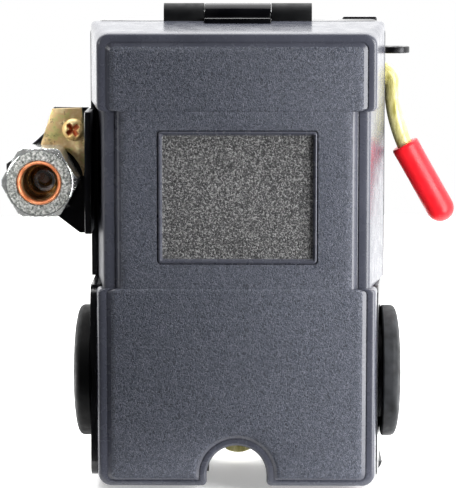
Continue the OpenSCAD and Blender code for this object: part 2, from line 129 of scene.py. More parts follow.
def turned_rows(mesh_edit, profile, centre, axis, segments):
    """Rings of vertices round an axis. profile is [(radius, distance along the axis), ...] in mm."""
    turn = Vector((0, 0, 1)).rotation_difference(Vector(axis)).to_matrix()
    rows = []
    for radius, along in profile:
        ring = []
        for k in range(segments):
            a = 2 * math.pi * k / segments
            p = turn @ Vector((radius * math.cos(a), radius * math.sin(a), along))
            ring.append(mesh_edit.verts.new(at(*centre) + p * MM))
        rows.append(ring)
    return rows


def turned(name, profile, centre, axis, materials, body, replaced, segments):
    """A lathe-turned piece, closed at both ends."""
    mesh_edit = bmesh.new()
    rows = turned_rows(mesh_edit, profile, centre, axis, segments)
    join_rows(mesh_edit, rows)
    mesh_edit.faces.new(rows[0][::-1])
    mesh_edit.faces.new(rows[-1])
    bmesh.ops.remove_doubles(mesh_edit, verts=mesh_edit.verts, dist=WELD)
    return finish_mesh(name, mesh_edit, materials, body, replaced)


def turned_ring(name, profile, centre, axis, materials, body, replaced, segments):
    """A turned piece with a hole: the profile is a closed loop."""
    mesh_edit = bmesh.new()
    rows = turned_rows(mesh_edit, profile, centre, axis, segments)
    join_rows(mesh_edit, rows + [rows[0]])
    return finish_mesh(name, mesh_edit, materials, body, replaced)


def arc(cx, cy, r, a0, a1, n):
    """Points of an arc from a0 to a1 degrees."""
    steps = [math.radians(a0 + (a1 - a0) * i / n) for i in range(n + 1)]
    return [(cx + r * math.cos(a), cy + r * math.sin(a)) for a in steps]


def smooth_path(points, per_span):
    """A Catmull-Rom curve through points."""
    path = []
    ends = [points[0] * 2 - points[1]] + points + [points[-1] * 2 - points[-2]]
    for i in range(1, len(ends) - 2):
        a, b, c, d = ends[i - 1:i + 3]
        for k in range(per_span):
            t = k / per_span
            path.append(0.5 * (2 * b + (c - a) * t + (2 * a - 5 * b + 4 * c - d) * t * t
                               + (3 * b - a - 3 * c + d) * t ** 3))
    path.append(points[-1])
    return path


def tube(name, path, radius, materials, body, replaced, sides, taper):
    """A round bar along path (mm points in the case); its ends are narrower by the share taper."""
    mesh_edit = bmesh.new()
    points = [Vector(p) for p in path]
    last = len(points) - 1
    tangents = [(points[min(i + 1, last)] - points[max(i - 1, 0)]).normalized() for i in range(last + 1)]
    normal = tangents[0].orthogonal().normalized()
    rows = []
    scale = {0: 1 - taper, last: 1 - taper}
    for i, point in enumerate(points):
        normal = (normal - tangents[i] * normal.dot(tangents[i])).normalized()
        side = tangents[i].cross(normal)
        r = radius * scale.get(i, 1)
        ring = []
        for k in range(sides):
            a = 2 * math.pi * k / sides
            p = point + normal * (r * math.cos(a)) + side * (r * math.sin(a))
            ring.append(mesh_edit.verts.new(at(*p)))
        rows.append(ring)
    join_rows(mesh_edit, rows)
    mesh_edit.faces.new(rows[0][::-1])
    mesh_edit.faces.new(rows[-1])
    return finish_mesh(name, mesh_edit, materials, body, replaced)


def node_body(node):
    """The body that a CAD node belongs to."""
    bodies = frame["record"]["behaviour"]["bodies"]
    return next(body for body, members in bodies.items() if node in members)


def eased(node, material, width, shape=None):
    """Stands for a CAD node with the same form and softened edges; shape may move points a little."""
    mesh_edit = bmesh.new()
    mesh_edit.from_mesh(frame["nodes"][node].data)
    if shape:
        for vertex in mesh_edit.verts:
            vertex.co = shape(vertex.co)
    bmesh.ops.remove_doubles(mesh_edit, verts=mesh_edit.verts, dist=CAD_WELD)
    bmesh.ops.dissolve_limit(mesh_edit, angle_limit=FLAT, verts=mesh_edit.verts, edges=mesh_edit.edges)
    edges = [e for e in mesh_edit.edges if len(e.link_faces) == 2 and e.calc_face_angle() > EASE_FROM]
    bmesh.ops.bevel(mesh_edit, geom=edges, offset=width * MM, offset_type="OFFSET", segments=2,
                    profile=0.5, affect="EDGES", clamp_overlap=True, harden_normals=False)
    return finish_mesh(node + "_eased", mesh_edit, [material], node_body(node), [node])


# ------------------------------------------------------------------ materials
class Finish:
    """One procedural material: a Principled shader with colour, roughness and bump built from noise."""

    def __init__(self, name, color, rough, metal=0.0, **sockets):
        """sockets are further shader inputs, with _ for the spaces in their names."""
        self.material = bpy.data.materials.new(name)
        self.material.use_nodes = True
        self.tree = self.material.node_tree
        self.nodes = self.tree.nodes
        self.shader = self.nodes["Principled BSDF"]
        self.shader.inputs["Metallic"].default_value = metal
        self.shader.inputs["Base Color"].default_value = (*color, 1)
        self.shader.inputs["Roughness"].default_value = rough
        for socket, value in sockets.items():
            self.shader.inputs[socket.replace("_", " ")].default_value = value
        self.place = self.nodes.new("ShaderNodeTexCoord").outputs["Object"]
        self.height = None

    def link(self, a, b):
        """Joins an output to an input."""
        self.tree.links.new(a, b)

    def noise(self, scale, detail=3.0, rough=0.55, stretch=None, distortion=0.0):
        """Noise with scale in cells per metre; stretch squeezes it along the axes."""
        node = self.nodes.new("ShaderNodeTexNoise")
        node.inputs["Scale"].default_value = scale
        node.inputs["Detail"].default_value = detail
        node.inputs["Roughness"].default_value = rough
        node.inputs["Distortion"].default_value = distortion
        self.link(self.mapped(stretch), node.inputs["Vector"])
        return node.outputs["Fac"]

    def cells(self, scale, smooth):
        """Smooth Voronoi cells with scale in cells per metre."""
        node = self.nodes.new("ShaderNodeTexVoronoi")
        node.feature = "SMOOTH_F1"
        node.inputs["Scale"].default_value = scale
        node.inputs["Smoothness"].default_value = smooth
        self.link(self.place, node.inputs["Vector"])
        return node.outputs["Distance"]

    def mapped(self, stretch):
        """The piece's own coordinates, squeezed along the axes if stretch is given."""
        if not stretch:
            return self.place
        node = self.nodes.new("ShaderNodeMapping")
        node.inputs["Scale"].default_value = stretch
        self.link(self.place, node.inputs["Vector"])
        return node.outputs["Vector"]

    def ramp(self, factor, *stops):
        """A colour ramp: stops are (position, grey or colour)."""
        node = self.nodes.new("ShaderNodeValToRGB")
        elements = node.color_ramp.elements
        while len(elements) < len(stops):
            elements.new(0.5)
        for element, (position, value) in zip(elements, stops):
            element.position = position
            element.color = (*value, 1) if isinstance(value, tuple) else (value, value, value, 1)
        self.link(factor, node.inputs["Fac"])
        return node.outputs["Color"]

    def paint(self, color):
        """Gives the shader its colour."""
        self.link(color, self.shader.inputs["Base Color"])

    def mottle(self, scale, low, high, detail=4.0, span=(0.35, 0.65)):
        """Colour that drifts between two shades."""
        self.paint(self.ramp(self.noise(scale, detail), (span[0], low), (span[1], high)))

    def vary_rough(self, scale, low, high, stretch=None):
        """Roughness that drifts between two values."""
        grey = self.ramp(self.noise(scale, 4.0, 0.6, stretch), (0.35, low), (0.65, high))
        self.link(grey, self.shader.inputs["Roughness"])

    def bump(self, height, depth, strength=1.0):
        """Adds a bump of depth metres on top of any bump before it."""
        node = self.nodes.new("ShaderNodeBump")
        node.inputs["Strength"].default_value = strength
        node.inputs["Distance"].default_value = depth
        self.link(height, node.inputs["Height"])
        if self.height:
            self.link(self.height, node.inputs["Normal"])
        self.height = node.outputs["Normal"]
        self.link(self.height, self.shader.inputs["Normal"])


def cover_grain():
    """Slate plastic with a fine leather grain: raised worms that catch the light."""
    f = Finish("cover_grain", (0.058, 0.066, 0.088), 0.45, IOR=1.5)
    worms = f.noise(2550, 2.0, 0.5, distortion=1.4)
    f.paint(f.ramp(worms, (0.37, (0.014, 0.018, 0.031)), (0.50, (0.037, 0.043, 0.063)),
                   (0.65, (0.092, 0.100, 0.132))))
    f.vary_rough(260, 0.34, 0.46)
    f.bump(worms, 0.00030, 0.9)
    f.bump(f.noise(3600, 2.0), 0.00005, 0.5)
    return f.material


def cover_smooth():
    """The same plastic, polished on the border and the sides."""
    f = Finish("cover_smooth", (0.055, 0.058, 0.076), 0.22, IOR=1.5)
    f.mottle(120, (0.050, 0.053, 0.070), (0.060, 0.063, 0.082))
    f.vary_rough(300, 0.22, 0.31)
    f.bump(f.noise(900, 2.0), 0.00001, 0.05)
    return f.material


def cover_painted_shade():
    """A copy of the same plastic for the left recess's wall, with weak reflection and a slightly lighter
    grey: painted shade, standing for the dim grey that wall shows in shade.
    """
    f = Finish("cover_painted_shade", (0.060, 0.061, 0.070), 0.42, IOR=1.5, Specular_IOR_Level=0.08)
    f.mottle(140, (0.055, 0.056, 0.066), (0.068, 0.069, 0.080))
    f.vary_rough(300, 0.38, 0.46)
    f.bump(f.noise(900, 2.0), 0.00001, 0.05)
    return f.material


def label_grain():
    """Coarse spark-eroded grain on the label recess's floor."""
    f = Finish("label_grain", (0.11, 0.11, 0.105), 0.42, IOR=1.5)
    speckle = f.noise(3000, 2.0, 0.6, distortion=0.8)
    f.paint(f.ramp(speckle, (0.38, (0.004, 0.004, 0.006)), (0.51, (0.048, 0.048, 0.050)),
                   (0.64, (0.29, 0.29, 0.287))))
    f.vary_rough(800, 0.32, 0.46)
    f.bump(speckle, 0.00055, 1.0)
    return f.material


def gloss_black(name, level=0.5):
    """Polished black plastic; level is how strongly it mirrors."""
    f = Finish(name, (0.003, 0.003, 0.004), 0.14, IOR=1.50, Specular_IOR_Level=level)
    f.mottle(140, (0.002, 0.002, 0.003), (0.005, 0.005, 0.006))
    f.vary_rough(220, 0.09, 0.20)
    f.bump(f.noise(420, 2.0), 0.00005, 0.3)
    return f.material


def base_black():
    """Moulded black of the base housing, a little less polished."""
    f = Finish("base_black", (0.007, 0.007, 0.009), 0.2, IOR=1.5)
    f.mottle(110, (0.005, 0.005, 0.007), (0.010, 0.010, 0.012))
    f.vary_rough(240, 0.15, 0.27)
    f.bump(f.noise(1300, 3.0), 0.00004, 0.45)
    return f.material


def rubber(name, shade, spread=1.35):
    """Matt rubber or satin plastic, a little blue; spread widens its scuffed patches."""
    f = Finish(name, (shade, shade, shade * 1.04), 0.55, IOR=1.5, Specular_IOR_Level=0.16)
    low, high = shade / spread, shade * spread
    f.mottle(300, (low * 0.94, low, low * 1.12), (high * 0.94, high, high * 1.12))
    f.vary_rough(420, 0.46, 0.66)
    f.bump(f.noise(2400, 3.0), 0.00004, 0.6)
    return f.material


def plated(name, color, tint, rough, scratches=0.35, metal=1.0):
    """Zinc plate: a metal whose tint drifts, with fine drawn lines."""
    f = Finish(name, color, rough, metal)
    f.mottle(260, color, tint, 5.0, (0.38, 0.62))
    f.vary_rough(520, rough * 0.75, rough * 1.4)
    f.bump(f.noise(1600, 3.0, 0.6), 0.00003, scratches)
    return f.material


def chromate_sheet():
    """Yellow chromate on sheet steel, blotched with olive and gold."""
    f = Finish("chromate_sheet", (0.52, 0.43, 0.16), 0.34, 0.45)
    blotch = f.noise(330, 6.0, 0.65)
    f.paint(f.ramp(blotch, (0.30, (0.26, 0.25, 0.09)), (0.42, (0.56, 0.50, 0.20)),
                   (0.52, (0.60, 0.40, 0.20)), (0.70, (0.80, 0.72, 0.40))))
    f.vary_rough(500, 0.24, 0.46)
    f.bump(f.noise(1500, 4.0), 0.00004, 0.5)
    return f.material


def chromate_wire():
    """Yellow chromate on drawn wire, streaked along the lever's leg."""
    f = Finish("chromate_wire", (0.62, 0.58, 0.26), 0.24, 0.2, Specular_IOR_Level=0.25)
    streak = f.noise(500, 4.0, 0.6, (1.0, 1.0, 0.25))
    f.paint(f.ramp(streak, (0.35, (0.34, 0.31, 0.08)), (0.48, (0.62, 0.57, 0.24)),
                   (0.66, (0.72, 0.70, 0.40))))
    f.vary_rough(600, 0.18, 0.34, (1.0, 1.0, 0.3))
    f.bump(f.noise(900, 3.0), 0.00004, 0.35)
    return f.material


def nut_face():
    """Sawn and plated end face of the nut: bright grains on grey."""
    f = Finish("nut_face", (0.5, 0.5, 0.49), 0.4, 0.4)
    grain = f.noise(1700, 4.0, 0.7)
    f.paint(f.ramp(grain, (0.36, (0.055, 0.062, 0.055)), (0.50, (0.34, 0.35, 0.33)),
                   (0.64, (0.86, 0.86, 0.83))))
    f.vary_rough(1500, 0.26, 0.55)
    f.bump(grain, 0.00025, 0.9)
    return f.material


def red_vinyl():
    """Dipped vinyl of the lever's grip."""
    f = Finish("red_vinyl", (0.86, 0.009, 0.016), 0.32, IOR=1.5, Specular_IOR_Level=0.36)
    f.mottle(160, (0.80, 0.006, 0.011), (0.92, 0.013, 0.024))
    f.vary_rough(260, 0.26, 0.42)
    f.bump(f.noise(520, 2.0), 0.00006, 0.35)
    return f.material


def sleeve_orange():
    """Copper-coloured end of the tube sleeve."""
    f = Finish("sleeve_orange", (0.78, 0.27, 0.10), 0.30, 0.3)
    f.mottle(500, (0.66, 0.20, 0.07), (0.88, 0.36, 0.17))
    f.vary_rough(700, 0.2, 0.38)
    f.bump(f.noise(1400, 3.0), 0.00003, 0.4)
    return f.material


def cast_black():
    """Black-coated sand casting."""
    f = Finish("cast_black", (0.014, 0.014, 0.016), 0.5, IOR=1.5)
    f.mottle(200, (0.010, 0.010, 0.012), (0.022, 0.022, 0.024))
    f.vary_rough(500, 0.4, 0.62)
    f.bump(f.cells(700, 0.6), 0.00022, 0.5)
    f.bump(f.noise(1900, 4.0), 0.0001, 0.5)
    return f.material


def plain(name, low, high, rough, grain=1200, metal=0.0):
    """A moulded or turned material whose shade and gloss drift a little."""
    f = Finish(name, low, rough, metal, IOR=1.5)
    f.mottle(240, low, high)
    f.vary_rough(420, rough * 0.8, rough * 1.25)
    f.bump(f.noise(grain, 3.0), 0.00004, 0.45)
    return f.material


def pale_floor():
    """White table that glows a little, so that it meets the backdrop."""
    f = Finish("pale_floor", (0.9, 0.9, 0.9), 0.7, Emission_Color=(1, 1, 1, 1), Emission_Strength=0.35)
    f.mottle(3, (0.88, 0.88, 0.88), (0.93, 0.93, 0.93))
    return f.material


ZINC = plated("bright_zinc", (0.66, 0.67, 0.68), (0.80, 0.81, 0.82), 0.26)
NUT_ZINC = plated("nut_zinc", (0.76, 0.78, 0.76), (0.92, 0.93, 0.91), 0.17, 0.25, 0.85)
SPRING = plated("spring_steel", (0.20, 0.21, 0.23), (0.34, 0.35, 0.37), 0.32)
BRASS = plated("brass", (0.62, 0.42, 0.14), (0.78, 0.58, 0.26), 0.28)
COPPER = plated("copper", (0.70, 0.32, 0.16), (0.84, 0.46, 0.28), 0.3)
BORE_BRONZE = plated("bore_bronze", (0.16, 0.10, 0.045), (0.34, 0.23, 0.11), 0.34, 0.4, 0.7)
SILVER = plated("silver_contact", (0.78, 0.78, 0.77), (0.9, 0.9, 0.88), 0.22)
BOLT_STEEL = plated("bolt_steel", (0.24, 0.25, 0.26), (0.36, 0.37, 0.38), 0.3)
BLACK_STEEL = plated("black_steel", (0.02, 0.02, 0.022), (0.05, 0.05, 0.052), 0.34)
CHROMATE_SCREW = plated("chromate_screw", (0.66, 0.44, 0.16), (0.86, 0.66, 0.34), 0.3, 0.35, 0.5)
SHEET = chromate_sheet()
WIRE = chromate_wire()
GLOSS = gloss_black("gloss_black")
BARREL_GLOSS = gloss_black("barrel_gloss", 0.22)
SATIN = rubber("satin_black", 0.005)
BASE = base_black()
CAST = cast_black()
BAKELITE = plain("bakelite", (0.020, 0.014, 0.011), (0.034, 0.025, 0.020), 0.42)
PHENOLIC = plain("brown_phenolic", (0.10, 0.045, 0.018), (0.15, 0.070, 0.030), 0.45)
NYLON = plain("nylon", (0.70, 0.68, 0.60), (0.80, 0.78, 0.71), 0.4)
EARTH_GREEN = plain("earth_green", (0.03, 0.16, 0.04), (0.05, 0.24, 0.07), 0.35, 1200, 0.4)
DIAPHRAGM = rubber("diaphragm_rubber", 0.018)
# The two grommets are the same rubber: the near-black copy is painted shade for the left one, and the
# lighter grey copy, with wider scuffed patches, is painted light for the right one, which faces the key.
GROMMET_PAINTED_SHADE = rubber("grommet_painted_shade", 0.003)
GROMMET_PAINTED_LIGHT = rubber("grommet_painted_light", 0.012, 1.9)

# ------------------------------------------------------------------ camera
CAMERA_DISTANCE = 0.600
CAMERA_AZIMUTH = 0.8
CAMERA_ELEVATION = 7.1
CAMERA_TARGET = at(-1.96, 0, 57.0)
SENSOR = 36.0
LENS = 206.0


def add_camera():
    """The camera in front of the case, a little above it."""
    azimuth = math.radians(CAMERA_AZIMUTH)
    elevation = math.radians(CAMERA_ELEVATION)
    back = Vector((math.sin(azimuth) * math.cos(elevation),
                   -math.cos(azimuth) * math.cos(elevation), math.sin(elevation)))
    data = bpy.data.cameras.new("camera")
    data.lens = LENS
    data.sensor_width = SENSOR
    data.sensor_fit = "HORIZONTAL"
    data.clip_start = 0.01
    camera = bpy.data.objects.new("camera", data)
    bpy.context.scene.collection.objects.link(camera)
    camera.location = CAMERA_TARGET + back * CAMERA_DISTANCE
    camera.rotation_euler = (-back).to_track_quat("-Z", "Y").to_euler()
    bpy.context.scene.camera = camera


add_camera()

# ------------------------------------------------------------------ cover
# The front's half width and top, the side recesses' wall and span, and the half-round notch in the foot.
HALF_W = 32.2
TOP = 105.4
RECESS_X = 30.85
RECESS_Z = (46.4, 87.4)
NOTCH_R = 6.95
NOTCH_Z = 2.55
NOTCH_FOOT_R = 1.1
# Corners, depth and wall, and where the base's ears cut into the sides.
CORNER_R = 2.9
COVER_DEPTH = 24.98
COVER_WALL = 1.9
EAR_CUT_X = 29.2
EAR_CUT_Y = 5.85
# From front to back, each side and each recess's wall go out by this, and the corners' radius shrinks.
DRAFT_X = 2.65
RECESS_FLARE = 4.0
LEFT_RECESS_FLARE = 2.5
REAR_CORNER = 1.7
# The label recess: its middle (X, Z), half its width and height, and its corners.
LABEL = (0.2, 67.65, 18.8, 15.75)
LABEL_CORNER_R = 0.9
# The field's depth, the gap between a recess's end and its shoulder, and the shoulder's radius.
FIELD_Y = 0.25
STEP_GAP = 0.02
SHOULDER = 1.1
# Shares of the border's inset by which each stretch of the outline draws in.
RECESS_SHARE = 1.35
FOOT_SHARE = 0.62
CORNER_SHARE = 0.55
NOTCH_SHARE = 0.8
NOTCH_FOOT_SHARE = 0.3
EAR_CUT_SHARE = 0.5
# Slack, in mm, for telling whether a point is on an edge.
SLACK = 0.01


def cover_outline(inset, grow=0.0):
    """The cover's outline as (x, z, in recess?), inset for the border or grown for the draft."""
    right = half_outline(inset, grow, RECESS_X + RECESS_FLARE * grow)
    left = half_outline(inset, grow, RECESS_X + LEFT_RECESS_FLARE * grow)
    return right + [((-x, z), flag) for (x, z), flag in left[-2:0:-1]]


def half_outline(inset, grow, recess):
    """The right half of the outline, from the notch's crown round to the middle of the top."""
    x = HALF_W - inset + DRAFT_X * grow
    rx = recess - inset * RECESS_SHARE
    z0 = inset * FOOT_SHARE - FOOT_DRAFT * grow
    z1 = TOP - inset + TOP_DRAFT * grow
    corner = max(CORNER_R - inset * CORNER_SHARE, 1.0) - REAR_CORNER * grow
    notch = NOTCH_R + inset * NOTCH_SHARE
    foot = max(NOTCH_FOOT_R - inset * NOTCH_FOOT_SHARE, 0.4)
    r0, r1 = RECESS_Z
    half = [(p, False) for p in arc(0, NOTCH_Z, notch, 90, 0, 20)]
    half += [((notch, z), False) for z in spaced(NOTCH_Z, z0 + foot, 3)[1:]]
    half += [(p, False) for p in arc(notch + foot, z0 + foot, foot, 180, 270, 6)[1:]]
    edge = min(EAR_CUT_X - inset * EAR_CUT_SHARE, x - corner - 0.05)
    half += [((px, z0), False) for px in spaced(notch + foot, edge, 10)[1:]]
    half += [(p, False) for p in arc(x - corner, z0 + corner, corner, -90, 0, 9)]
    step = x - rx
    half += [((x, z), False) for z in spaced(z0 + corner, r0 - SHOULDER, 14)[1:]]
    half += [((x - step + step * math.cos(a), r0 - SHOULDER + SHOULDER * math.sin(a)), False)
             for a in spaced(0, math.pi / 2, 6)[1:]]
    half += [((rx, z), True) for z in spaced(r0 + STEP_GAP, r1 - STEP_GAP, 14)]
    half += [((x - step + step * math.cos(a), r1 + SHOULDER + SHOULDER * math.sin(a)), False)
             for a in spaced(-math.pi / 2, 0, 6)]
    half += [((x, z), False) for z in spaced(r1 + SHOULDER, z1 - corner, 6)[1:]]
    half += [(p, False) for p in arc(x - corner, z1 - corner, corner, 0, 90, 9)[1:]]
    half += [((px, z1), False) for px in spaced(x - corner, 0, 10)[1:]]
    return half


def spaced(a, b, n):
    """n + 1 evenly spaced values from a to b."""
    return [a + (b - a) * i / n for i in range(n + 1)]


def label_outline(inset):
    """A rounded rectangle round the label recess."""
    cx, cz, hx, hz = LABEL
    hx -= inset
    hz -= inset
    r = max(LABEL_CORNER_R - inset * 0.3, 0.25)
    points = []
    for sx, sz, start in ((1, 1, 0), (-1, 1, 90), (-1, -1, 180), (1, -1, 270)):
        points += arc(cx + sx * (hx - r), cz + sz * (hz - r), r, start, start + 90, 6)
    return points


# Border profile: (inset from the edge, depth, share of the recess's extra depth).
BORDER = [(0.0, 1.95, 1.0), (0.08, 1.50, 1.0), (0.25, 1.17, 1.0), (0.50, 0.98, 1.0), (0.82, 0.89, 1.0),
          (1.25, 0.86, 1.0), (1.75, 0.87, 1.0), (1.98, 0.89, 1.0), (2.01, 1.06, 1.0), (2.18, 1.09, 1.0),
          (2.32, 1.03, 0.95), (2.46, 0.95, 0.66), (2.62, 0.875, 0.36), (2.86, 0.765, 0.15),
          (3.14, 0.635, 0.04), (3.48, 0.485, 0.0), (3.88, 0.34, 0.0), (4.4, FIELD_Y, 0.0)]
RECESS_DROP = 0.8
BAND_RINGS = 14
# Label profile: (inset from the rim's outer edge, depth).
LABEL_RINGS = [(-0.3, FIELD_Y), (0.0, FIELD_Y), (0.25, FIELD_Y), (0.32, 0.62), (0.48, 0.66), (0.56, 0.34),
               (0.66, 0.17), (0.84, 0.12), (1.02, 0.16), (1.14, 0.36), (1.24, 0.62), (1.36, 0.98),
               (1.50, 1.16), (1.7, 1.20), (2.0, 1.20)]
LABEL_RIM_RING = 2
LABEL_FLOOR_RING = 12
WALL_DEPTHS = [1.95, EAR_CUT_Y, 9, 13, 17, 21, COVER_DEPTH]
INNER_FRONT = 3.1
# Places of the cover's materials on its mesh; the last is the dimmed copy that paints shade on the left
# recess's wall.
GRAIN, SMOOTH, LABEL_FLOOR, PAINTED_SHADE_WALL = 0, 1, 2, 3


def cover_front(mesh_edit):
    """The border, the grained field and the label recess. Returns the outermost ring."""
    rows = []
    for inset, depth, share in BORDER:
        ring = []
        for (x, z), in_recess in cover_outline(inset):
            y = depth + (RECESS_DROP * share if in_recess else 0)
            ring.append(mesh_edit.verts.new(at(x, y, z)))
        rows.append(ring)
    join_rows(mesh_edit, rows[:BAND_RINGS + 1], SMOOTH)
    join_rows(mesh_edit, rows[BAND_RINGS:], GRAIN)
    label_rows = [[mesh_edit.verts.new(at(x, depth, z)) for x, z in label_outline(inset)]
                  for inset, depth in LABEL_RINGS]
    join_rows(mesh_edit, label_rows[:LABEL_RIM_RING + 1], GRAIN)
    join_rows(mesh_edit, label_rows[LABEL_RIM_RING:LABEL_FLOOR_RING + 1], SMOOTH)
    join_rows(mesh_edit, label_rows[LABEL_FLOOR_RING:], LABEL_FLOOR)
    mesh_edit.faces.new(label_rows[-1]).material_index = LABEL_FLOOR
    fill_between(mesh_edit, [rows[-1], label_rows[0][::-1]], GRAIN)
    return rows[0]


def fill_between(mesh_edit, loops, material):
    """Flat faces inside the first loop of vertices, round the others."""
    flat = [v for loop in loops for v in loop]
    outlines = [[Vector((v.co.x, v.co.z, 0)) for v in loop] for loop in loops]
    for corners in geometry.tessellate_polygon(outlines):
        mesh_edit.faces.new([flat[i] for i in corners]).material_index = material


def wall_rows(mesh_edit, inset, depths):
    """Rows of vertices along a drafted wall, from the front to the open back."""
    rows = []
    for depth, station in zip(depths, WALL_DEPTHS):
        grow = (station - WALL_DEPTHS[0]) / (COVER_DEPTH - WALL_DEPTHS[0])
        rows.append([mesh_edit.verts.new(at(x, depth, z)) for (x, z), _ in cover_outline(inset, grow)])
    return rows


def wall_kept(outline, row, i):
    """False where the notch and the two ears of the base leave the wall out."""
    (x, z), (nx, nz) = outline[i][0], outline[(i + 1) % len(outline)][0]
    in_notch = max(abs(x), abs(nx)) < NOTCH_R + NOTCH_FOOT_R + SLACK and max(z, nz) < TOP / 2
    beside_ear = min(abs(x), abs(nx)) > EAR_CUT_X - SLACK and max(z, nz) < RECESS_Z[0] + STEP_GAP / 2
    return not in_notch and not (row > 0 and beside_ear)


def close_thickness(mesh_edit, outer, inner, keep):
    """Faces from the outer to the inner skin wherever the wall ends."""
    last = len(outer) - 2
    count = len(outer[0])

    def close(row, i, next_row, n):
        """One face across the wall's thickness."""
        corners = [outer[row][i], outer[next_row][n], inner[next_row][n], inner[row][i]]
        mesh_edit.faces.new(corners).material_index = SMOOTH

    for i in range(count):
        n = (i + 1) % count
        if not keep(0, i):
            close(0, i, 0, n)
        for row in range(last + 1):
            if not keep(row, i):
                continue
            if row == last or not keep(row + 1, i):
                close(row + 1, i, row + 1, n)
            if not keep(row, i - 1):
                close(row, i, row + 1, i)
            if not keep(row, n):
                close(row, n, row + 1, n)


def paint_shade_left_recess(mesh_edit):
    """Gives the wall inside the cover's left recess the dimmed copy of its plastic, as painted shade."""
    for face in mesh_edit.faces:
        middle = (face.calc_center_median() - at(0, 0, 0)) / MM
        in_recess = RECESS_Z[0] < middle.z < RECESS_Z[1]
        if middle.x < 1 - RECESS_X and in_recess and middle.y > WALL_DEPTHS[0]:
            face.material_index = PAINTED_SHADE_WALL


def cover():
    """The moulded cover: front, drafted walls and inner skin; open at the back."""
    mesh_edit = bmesh.new()
    outline = cover_outline(0)

    def keep(row, i):
        """Whether the wall has a face there."""
        return wall_kept(outline, row, i)

    outer = [cover_front(mesh_edit)] + wall_rows(mesh_edit, 0, WALL_DEPTHS)[1:]
    inner = wall_rows(mesh_edit, COVER_WALL, [INNER_FRONT] + WALL_DEPTHS[1:])
    join_rows(mesh_edit, outer, SMOOTH, keep)
    join_rows(mesh_edit, inner, SMOOTH, keep)
    close_thickness(mesh_edit, outer, inner, keep)
    fill_between(mesh_edit, [inner[0]], SMOOTH)
    loose = [v for v in mesh_edit.verts if not v.link_faces]
    bmesh.ops.delete(mesh_edit, geom=loose, context="VERTS")
    paint_shade_left_recess(mesh_edit)
    return finish_mesh("cover_shell", mesh_edit,
                       [cover_grain(), cover_smooth(), label_grain(), cover_painted_shade()],
                       "cover", ["cover"], COVER_SHARP)


cover()

# ------------------------------------------------------------------ cable grommets
# The cable entries' axis (Y, Z), and the grommets' profile as (radius, X).
CABLE = (20.5, 24.2)
GROMMET = [(4.5, 30.6), (12.6, 30.6), (13, 30.9), (13, 31.7), (12.6, 32), (11.2, 32.05), (11.2, 34.15),
           (15.3, 34.22), (15.6, 34.5), (15.6, 36.4), (15.48, 36.9), (15.15, 37.35), (14.5, 37.7),
           (13.5, 38.0), (12.2, 38.25), (10.6, 38.46), (8.8, 38.6), (7.4, 38.64), (6.6, 38.48),
           (6.0, 38.58), (5.2, 38.64), (4.7, 38.5), (4.5, 38.2)]


def grommets():
    """A domed rubber grommet in each ear: the right one in the lighter copy of the rubber as painted light,
    the left one in the darker copy as painted shade.
    """
    for side, name, material in ((1, "right", GROMMET_PAINTED_LIGHT), (-1, "left", GROMMET_PAINTED_SHADE)):
        turned_ring("grommet_" + name, GROMMET, (0, *CABLE), (side, 0, 0), [material], "base",
                    ["cable_grommet_" + name], segments=128)


grommets()

# ------------------------------------------------------------------ lever
LEVER_Y = 33
LEVER_Z = 95.6
LEVER_X = 37.2
BEND_R = 4
WIRE_R = 1.9
GRIP_START = (40.2, 77.2)
GRIP_TILT = 60.5
GRIP_R = 3.37
GRIP_L = 17.6
# Stations of the wire inside the case, points (X, Z) of its leg, and how deep it goes into the grip.
ARM_X = (17, 17.3, 22, 28, 32)
LEG = [(37.2, 90), (37.3, 87.6), (38.2, 83.0)]
WIRE_IN_GRIP = 5.5
# The grip's skin as (radius, distance from its mouth), with a radius that stands for a point on the axis.
POINT_R = 0.02
GRIP_PROFILE = [(WIRE_R, 0.2), (2.3, -0.05), (2.9, -0.12), (3.2, 0.0), (GRIP_R, 0.3), (3.40, 0.9),
                (3.36, 2.2), (3.33, 5.0), (3.35, 9.0), (GRIP_R, 13.0), (GRIP_R, GRIP_L)]


def in_lever(x, z):
    """A point in the lever's plane, in mm in the case."""
    return Vector((x, LEVER_Y, z))


def wire_path(grip, axis):
    """The wire's middle: out of the case, round the bend and down into the grip."""
    arm = [in_lever(x, LEVER_Z) for x in ARM_X]
    bend = [in_lever(x, z) for x, z in arc(LEVER_X - BEND_R, LEVER_Z - BEND_R, BEND_R, 90, 0, 12)]
    leg = [bend[-1]] + [in_lever(x, z) for x, z in LEG] + [grip, grip + axis * WIRE_IN_GRIP]
    return arm + bend + smooth_path(leg, 8)[1:]


def grip_outline():
    """The grip's profile, from the wire's end inside it round to the middle of its domed tip."""
    dome = [(GRIP_R * math.cos(math.radians(a)), GRIP_L + GRIP_R * math.sin(math.radians(a)))
            for a in range(10, 90, 8)]
    hollow = [(POINT_R, 5.6), (WIRE_R, 5.5)]
    return hollow + GRIP_PROFILE + dome + [(POINT_R, GRIP_L + GRIP_R)]


def lever():
    """The bent wire and the vinyl grip on its end."""
    axis = Vector((math.cos(math.radians(GRIP_TILT)), 0, -math.sin(math.radians(GRIP_TILT))))
    grip = in_lever(*GRIP_START)
    tube("lever_rod", wire_path(grip, axis), WIRE_R, [WIRE], "lever",
         ["lever_wire"], sides=32, taper=0.12)
    turned("lever_grip_skin", grip_outline(), tuple(grip), tuple(axis), [red_vinyl()], "lever",
           ["lever_grip"], segments=64)


lever()

